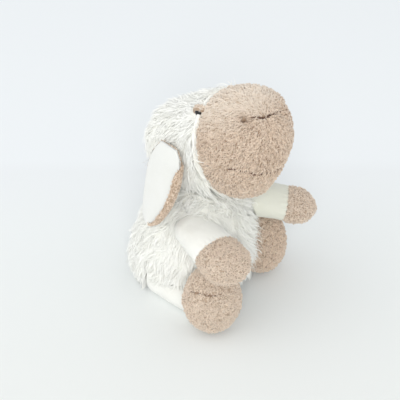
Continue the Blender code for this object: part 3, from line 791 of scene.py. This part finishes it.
def build_muzzle():
    front = [(SEAM_ALONG, 0.0), (SEAM_ALONG, SEAM_RADIUS * 0.6), (SEAM_ALONG + 0.0004, SEAM_RADIUS - 0.0022)]
    front += [(a, max(r - TERRY_INSET, 0)) for a, r in muzzle_side()[1:-1]]
    front += [(MUZZLE_MIDDLE + MUZZLE_DOME - TERRY_INSET, 0.0)]
    points, faces = lathe(flowing(front, 150), 260, HEAD)
    normals = normals_of(points, faces)
    points += normals * (perlin(points / 0.018, 8) * 0.0006)[:, None]
    lines = paths()
    points, marks = creased(points, normals, lines)
    lines = [line + unit(HEAD_POINT - line) * sunk(line)[:, None] for line in lines]
    normals = normals_of(points, faces)
    points += normals * loop_rows(points)
    ground = mesh_piece("muzzle", points, faces, "head", terry_ground, marks)
    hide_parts("muzzle_cover")

    def on_front(place, normal):
        off_line = placed(place, HEAD.inverted())[:, 2] > SEAM_ALONG - 0.001
        for line, room in zip((lines[0][STITCH_START:], lines[1]), LINE_ROOM):
            off_line &= from_line(place, line[::3]) > room
        return off_line & (from_nostril(place, lines[0]) > NOSTRIL_ROOM)

    place, normal, rng = scatter(points, faces, normals, YARN_SPACING, 301, on_front)
    apex = lines[0][30]
    way = unit(across(place - apex, normal)) * 1.5
    # Painted shade on the curls round the nostril's pit, less the painted light along the muzzle's top.
    pit = 0.5 * bell(from_nostril(place, lines[0]), 0.0052)
    yarn("muzzle_yarn", place, normal, rng, way, "head", shades=pit - painted_top_light(place))


# Eyes
def build_eye(side, sign):
    matrix = on_head(EYE_ALONG, -sign * EYE_TURN[side], -0.0008)
    points, faces = lathe(arc(0, EYE_RADIUS, EYE_RADIUS, -90, 90, 28), 40, matrix)
    bead = mesh_piece(f"{side}_bead", points, faces, "head", bead_look)
    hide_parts(f"{side}_eye")
    lid_radius = EYE_RADIUS + LID_THICK
    points, faces = lathe(arc(0, lid_radius, lid_radius, -90, 90, 28), 48, matrix)
    local = placed(points, matrix.inverted())
    local[:, 1] = np.where(local[:, 1] * -sign < -LID_BRIM, -LID_BRIM * -sign + local[:, 1] * 0.02, local[:, 1])
    points = placed(local, matrix)
    lid = mesh_piece(f"{side}_lid", points, faces, "head", terry_ground)
    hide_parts(f"{side}_eyelid")

    def on_lid(place, normal):
        local = placed(place, matrix.inverted())
        return (local[:, 1] * -sign > 0.0004) & (local[:, 2] > 0)

    place, normal, rng = scatter(points, faces, normals_of(points, faces), LID_YARN_SPACING, 801 + sign, on_lid)
    pale = np.full(len(place), -0.5)
    yarn(f"{side}_lid_yarn", place, normal, rng, normal * 0, "head", 0.0020, 0.0008, 0.00030, shades=pale)


def build_stitches():
    rng = np.random.default_rng(77)
    nose, mouth = paths()
    for line, (name, node, dash, gap, thick) in zip((nose[STITCH_START:], mouth), STITCHES):
        inwards = unit(HEAD_POINT - line)
        held = np.linspace(0.0004, 0.0014, len(line)) if name == "nose_line" else 0.0006
        line = line + inwards * (held + sunk(line))[:, None]
        every_point, every_face, at, count = [], [], 0, 0
        while at < len(line) - dash:
            piece = line[at:at + dash] + rng.normal(0, 0.00012, (dash, 3))
            radii = thick * (0.75 + 0.5 * rng.random((1, dash)))
            points, faces = tubes(piece[None], radii, inwards[at][None], sides=6, tip=False)
            every_point.append(points)
            every_face.append(faces + count)
            count += len(points)
            at += dash - 2 + gap + int(rng.integers(0, gap + 2))
        points, faces = np.concatenate(every_point), np.concatenate(every_face)
        piece = mesh_piece(name, points, faces, "head", thread_look)
        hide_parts(node)


# Ears
def build_ear(side, sign):
    matrix = ear_frame(side)
    rows, columns = 90, 56
    v = np.linspace(0, 1, rows)[:, None]
    table = flowing(EAR_SIDE, 200)
    half = np.interp(v, table[:, 0], table[:, 1]) * EAR_WIDTH / 2
    half = half * np.maximum(np.sqrt(np.clip(1 - ((v - 0.9) / 0.1).clip(0) ** 2, 0, 1)), 0.15)
    roll = EAR_ROLL * smooth(v, 0.06, 0.30) * (1 - 0.35 * smooth(v, 0.8, 1.0))
    roll = np.minimum(np.maximum(roll, 0.0004), half * 0.45)
    stop = math.radians(EAR_CURL) * smooth(v, 0.02, 0.25)
    flat = 2 * half - roll
    reach = flat + roll * stop
    s = np.linspace(0, 1, columns)[None] * reach
    angle = np.clip((s - flat) / roll, 0, None)
    x = np.where(s < flat, s - half, half - roll + roll * np.sin(angle)) - EAR_SWEEP * v**2
    y = np.where(s < flat, 0, roll * (1 - np.cos(angle)))
    y = y + 0.0016 * np.sin(math.pi * np.clip(s / flat, 0, 1)) * smooth(v, 0, 0.2) + 0.0008 * np.sin(v * 7 + s * 90)
    middle = np.stack([x, y, np.broadcast_to(v * EAR_LENGTH, x.shape)], 2)
    down, over = np.gradient(middle, axis=0), np.gradient(middle, axis=1)
    outward = unit(np.cross(down, over))
    rim = np.minimum(np.minimum(s, reach - s) / EAR_RIM, np.minimum(v, 1 - v) * EAR_LENGTH / EAR_RIM + 0.1)
    swell = np.sqrt(np.clip(1 - (1 - rim.clip(0, 1)) ** 2, 0.05, 1))[..., None]
    for layer, way, look, slot in (("outer", 1, velour_look, "velour"), ("inner", -1, terry_ground, "terry")):
        facing = outward * way
        near, far = middle + facing * 0.0001, middle + facing * (0.0003 + EAR_THICK[layer] * swell)
        points = placed(np.concatenate([near.reshape(-1, 3), far.reshape(-1, 3)]), matrix)
        quads, count = grid_faces(rows, columns, closed=False), rows * columns
        flip = way * -sign
        faces = [f[::-flip] for f in quads] + [tuple(i + count for i in f[::flip]) for f in quads]
        edge = list(range(columns)) + [i * columns + columns - 1 for i in range(1, rows)]
        edge += [(rows - 1) * columns + j for j in range(columns - 2, -1, -1)]
        edge += [i * columns for i in range(rows - 2, 0, -1)]
        for a, b in zip(edge, edge[1:] + edge[:1]):
            faces.append((a, b, b + count, a + count)[::-flip])
        piece = mesh_piece(f"{side}_ear_{layer}_cloth", points, faces, f"{side}_ear", look)
        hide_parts(f"{side}_ear_{layer}")
        if way < 0:
            lining = [tuple(i - count for i in f) for f in faces[len(quads):2 * len(quads)]]
            normals = normals_of(points[count:], lining)
            place, normal, rng = scatter(points[count:], lining, normals, YARN_SPACING, 701 + sign)
            yarn(f"{side}_ear_yarn", place, normal, rng, normal * 0, f"{side}_ear", 0.0026, 0.0012, 0.00036)


# Arms
def build_arm(side, sign):
    matrix, place, normal = arm_frame(side)
    body, cuff, radius = f"{side}_arm", CUFF_REACH[side], CUFF_RADIUS[side]
    tube = arc(0, ARM_BACK, ARM_ROOT, -90, 0, 12) + [(cuff / 2, (ARM_ROOT + radius) / 2 + 0.0005)]
    tube += [(cuff - 0.0015, radius), (cuff - 0.0001, radius - 0.0012), (cuff, radius * 0.5), (cuff, 0.0)]
    points, faces = lathe(flowing(tube, 100), 120, matrix, ARM_WIDE, ARM_THIN)
    normals = normals_of(points, faces)
    local = placed(points, matrix.inverted())
    turn = np.arctan2(local[:, 1], local[:, 0])
    gathers = GATHER_DEPTH * np.sin(turn * GATHERS + 2 * perlin(points / 0.01, 35))
    gathers = gathers * smooth(local[:, 2], cuff - 0.007, cuff - 0.001)
    relief = perlin(points / 0.012, 31) * 0.0007 + perlin(points / 0.005, 32) * 0.00015 + gathers
    points += normals * relief[:, None]
    behind = np.minimum((points - np.array(place)) @ np.array(normal), 0)
    points -= np.array(normal) * behind[:, None]
    # The left sleeve takes the darker, creamier velour: painted shade under the head.
    look = painted_shade_sleeve_look if side == "left" else sleeve_look
    sleeve = mesh_piece(f"{side}_sleeve_cloth", points, faces, body, look)
    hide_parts(f"{side}_sleeve", f"{side}_arm_filling")

    widest = ARM_REACH[side] - HAND_DOME
    hand = [(cuff, 0.0), (cuff, 0.008), (cuff + 0.0003, radius - 0.0016)]
    hand += [((cuff + widest) / 2, (radius + HAND_RADIUS[side]) / 2 + 0.0003 - HAND_INSET)]
    hand += [(a, max(r - HAND_INSET, 0)) for a, r in arc(widest, HAND_DOME, HAND_RADIUS[side], 0, 90, 16)[:-1]]
    hand += [(ARM_REACH[side] - HAND_INSET, 0.0)]
    points, faces = lathe(flowing(hand, 90), 150, matrix, ARM_WIDE, ARM_THIN)
    terry(f"{side}_hand", points, faces, body, [f"{side}_hand_cover"], 400 + sign)


def terry(name, points, faces, body, nodes, seed, seam=None, painted_light=0.3):
    """A terry form: its ground with the rows of loops, and the yarn on it, parted along a seam."""
    normals = normals_of(points, faces)
    points = points + normals * (perlin(points / 0.012, seed) * 0.0006)[:, None]
    marks = np.zeros(len(points))
    if seam is not None:
        far = from_line(points, seam)
        points -= normals * (FOOT_SEAM_DEPTH * bell(far, FOOT_SEAM_WIDTH))[:, None]
        # Painted shade in the seam's crease.
        marks = 0.7 * bell(far, 0.0009)
    # Painted light pales the rest of the form.
    marks = marks - painted_light * (1 - marks)
    points += normals * loop_rows(points)
    points[:, 2] = np.maximum(points[:, 2], 0)
    normals = normals_of(points, faces)
    ground = mesh_piece(name, points, faces, body, terry_ground, marks)
    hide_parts(*nodes)

    def off_seam(place, normal):
        if seam is None:
            return np.ones(len(place), bool)
        return from_line(place, seam) > FOOT_SEAM_ROOM

    place, normal, rng = scatter(points, faces, normals, LIMB_YARN_SPACING, 500 + seed, off_seam)
    yarn(f"{name}_yarn", place, normal, rng, normal * 0, body, 0.0032, shades=np.full(len(place), -painted_light))


# Legs
def clear_of_torso(points, room):
    """Moves points that lie in the torso forward to its surface."""
    moved = points.copy()
    radius = torso_radius(points[:, 2]) + room
    reach = np.clip(radius**2 - (points[:, 0] / TORSO_WIDE) ** 2, 0, None)
    front = torso_centre(points[:, 2]) - np.sqrt(reach)
    inside = (reach > 0) & (points[:, 1] > front)
    moved[:, 1] = np.where(inside, front, moved[:, 1])
    return moved


def build_leg(side, sign):
    body = f"{side}_leg"
    matrix = aimed(HIP[side], LEG_YAW[side], 0)
    end = FOOT_REACH - FOOT_DEEP + 0.008
    tube = arc(0, LEG_RADIUS, LEG_RADIUS, -90, 0, 12)
    tube += [(end * 0.3, LEG_RADIUS + 0.0003), (end * 0.7, LEG_RADIUS + 0.0003), (end - 0.001, LEG_RADIUS)]
    tube += [(end, LEG_RADIUS * 0.9), (end, LEG_RADIUS * 0.4), (end, 0.0)]
    points, faces = lathe(flowing(tube, 90), 96, matrix)
    normals = normals_of(points, faces)
    points += normals * (perlin(points / 0.012, 33) * 0.0005)[:, None]
    points[:, 2] = np.maximum(points[:, 2], 0)
    leg = mesh_piece(f"{side}_leg_cloth", points, faces, body, sleeve_look)
    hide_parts(f"{side}_leg_cover", f"{side}_leg_filling")

    centre = matrix @ Vector((sign * FOOT_OUT, 0, FOOT_REACH))
    centre.z = FOOT_HIGH - 0.0005
    turn = Matrix.Rotation(math.radians(sign * FOOT_TURN), 4, "Z") @ Matrix.Rotation(math.radians(FOOT_TIP), 4, "X")
    place = Matrix.Translation(centre) @ turn
    egg = arc(0, FOOT_HIGH - TERRY_INSET, FOOT_DEEP - TERRY_INSET, -90, 90, 36)
    wide = (FOOT_WIDE - TERRY_INSET) / (FOOT_DEEP - TERRY_INSET)
    points, faces = lathe(flowing(egg, 120), 180, place, wide)
    points = clear_of_torso(points, 0.0006)
    points[:, 2] = np.maximum(points[:, 2], 0)
    seam = placed(flowing(FOOT_SEAM, 60) * np.array([-sign, 1, 1]), place)
    # The right foot is painted lighter; the left foot keeps the darker tone, painted shade on the side away from
    # the light.
    terry(f"{side}_foot", points, faces, body, [f"{side}_foot_cover", f"{side}_foot_filling"], 600 + sign, seam,
          0.3 if side == "right" else 0.0)


def build_neck():
    low, high = -HEAD_RADIUS - 0.0105, -HEAD_RADIUS - 0.0004
    plug = [(low, 0.0), (low, 0.006), (low + 0.0005, 0.0102), (low + 0.004, 0.0098)]
    plug += [(high - 0.002, 0.0106), (high, 0.0095), (high, 0.005), (high, 0.0)]
    points, faces = lathe(flowing(plug, 40), 64, Matrix.Translation(HEAD_CENTRE))
    points = clear_of_head(points, HEAD_RADIUS + 0.0003)
    neck = mesh_piece("neck_plug", points, faces, "neck", fur_ground)
    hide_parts("neck_filling")


# Stage, lights and camera
TARGET = Vector((0.010708, 0.002370, 0.073841))
BACK = Vector((-0.654, -0.4755, 0.588)).normalized()
DISTANCE = 0.950
LENS, SENSOR_WIDTH = 101.3, 36
RIGHT = Vector((0.588, -0.809, 0))
TO_CAMERA = Vector((-0.809, -0.588, 0))
WALL = (0.858, 0.883, 0.902)
FLOOR_RADIUS = 4.0
# The floor's colours, from its near end to the wall, with a slightly darker stop just short of the wall as painted
# shade where floor and wall meet, and both ends along the view
FLOOR_STOPS = [
    (0.0, (0.825, 0.838, 0.815)), (0.75, (0.845, 0.870, 0.872)), (0.955, (0.840, 0.862, 0.878)), (1.0, WALL)]
FLOOR_NEAR, FLOOR_FAR = -0.30, 0.17
WORLD_COLOUR, WORLD_STRENGTH = (0.97, 0.99, 1.0), 0.75
# Name, place from the target, watts and colour
LAMPS = (
    ("key", (-RIGHT * 0.9 + TO_CAMERA * 0.5 + UP * 1.4) * 1.8, 16.0, (1.0, 0.99, 0.97)),
    ("fill", TO_CAMERA * 6.4 + UP * 4.0, 225.0, (1.0, 1.0, 0.99)),
)
LAMP_SIZE = 3.2


def floor_look():
    """A pale floor, a little warmer near the camera, that turns into the wall's colour past a soft, slightly darker
    line: painted shade where floor and wall meet.
    """
    made = bpy.data.materials.new("floor")
    made.use_nodes = True
    tree = made.node_tree
    shader = tree.nodes["Principled BSDF"]
    shader.inputs["Roughness"].default_value = 0.9
    shader.inputs["Specular IOR Level"].default_value = 0.1
    split = new_node(tree, "SeparateXYZ")
    tree.links.new(new_node(tree, "TexCoord").outputs["Object"], split.inputs["Vector"])
    far = new_node(tree, "MapRange", From_Min=FLOOR_NEAR, From_Max=FLOOR_FAR)
    tree.links.new(split.outputs["Y"], far.inputs["Value"])
    tree.links.new(link_ramp(tree, far.outputs["Result"], FLOOR_STOPS), shader.inputs["Base Color"])
    return made


def build_stage():
    bpy.ops.mesh.primitive_circle_add(vertices=96, radius=FLOOR_RADIUS, fill_type="NGON")
    floor = bpy.context.active_object
    floor.name = "floor"
    heading = math.atan2(-BACK.y, -BACK.x)
    floor.rotation_euler = (0, 0, heading - math.pi / 2)
    floor.location = (TARGET.x, TARGET.y, 0)
    floor.data.materials.append(floor_look())

    world = bpy.data.worlds.new("studio")
    bpy.context.scene.world = world
    world.use_nodes = True
    tree = world.node_tree
    tree.nodes.clear()
    out = new_node(tree, "OutputWorld")
    rays = new_node(tree, "LightPath")
    seen = new_node(tree, "Background", Color=(*WALL, 1))
    light = new_node(tree, "Background", Color=(*WORLD_COLOUR, 1), Strength=WORLD_STRENGTH)
    either = new_node(tree, "Math")
    either.operation = "MAXIMUM"
    tree.links.new(rays.outputs["Is Camera Ray"], either.inputs[0])
    tree.links.new(rays.outputs["Is Glossy Ray"], either.inputs[1])
    mix = new_node(tree, "MixShader")
    tree.links.new(either.outputs[0], mix.inputs[0])
    tree.links.new(light.outputs[0], mix.inputs[1])
    tree.links.new(seen.outputs[0], mix.inputs[2])
    tree.links.new(mix.outputs[0], out.inputs["Surface"])

    for name, way, watts, colour in LAMPS:
        data = bpy.data.lights.new(name, "AREA")
        data.shape = "DISK"
        data.size = LAMP_SIZE
        data.energy = watts
        data.color = colour
        lamp = bpy.data.objects.new(name, data)
        bpy.context.scene.collection.objects.link(lamp)
        lamp.location = TARGET + way
        lamp.rotation_euler = way.to_track_quat("Z", "Y").to_euler()

    data = bpy.data.cameras.new("camera")
    data.sensor_width = SENSOR_WIDTH
    data.lens = LENS
    camera = bpy.data.objects.new("camera", data)
    bpy.context.scene.collection.objects.link(camera)
    camera.location = TARGET + BACK * DISTANCE
    camera.rotation_euler = BACK.to_track_quat("Z", "Y").to_euler()
    bpy.context.scene.camera = camera
    bpy.context.scene.view_settings.view_transform = "Standard"


build_stage()
build_torso()
build_neck()
build_head()
build_muzzle()
build_stitches()
for side, sign in SIDES.items():
    build_eye(side, sign)
    build_ear(side, sign)
    build_arm(side, sign)
    build_leg(side, sign)
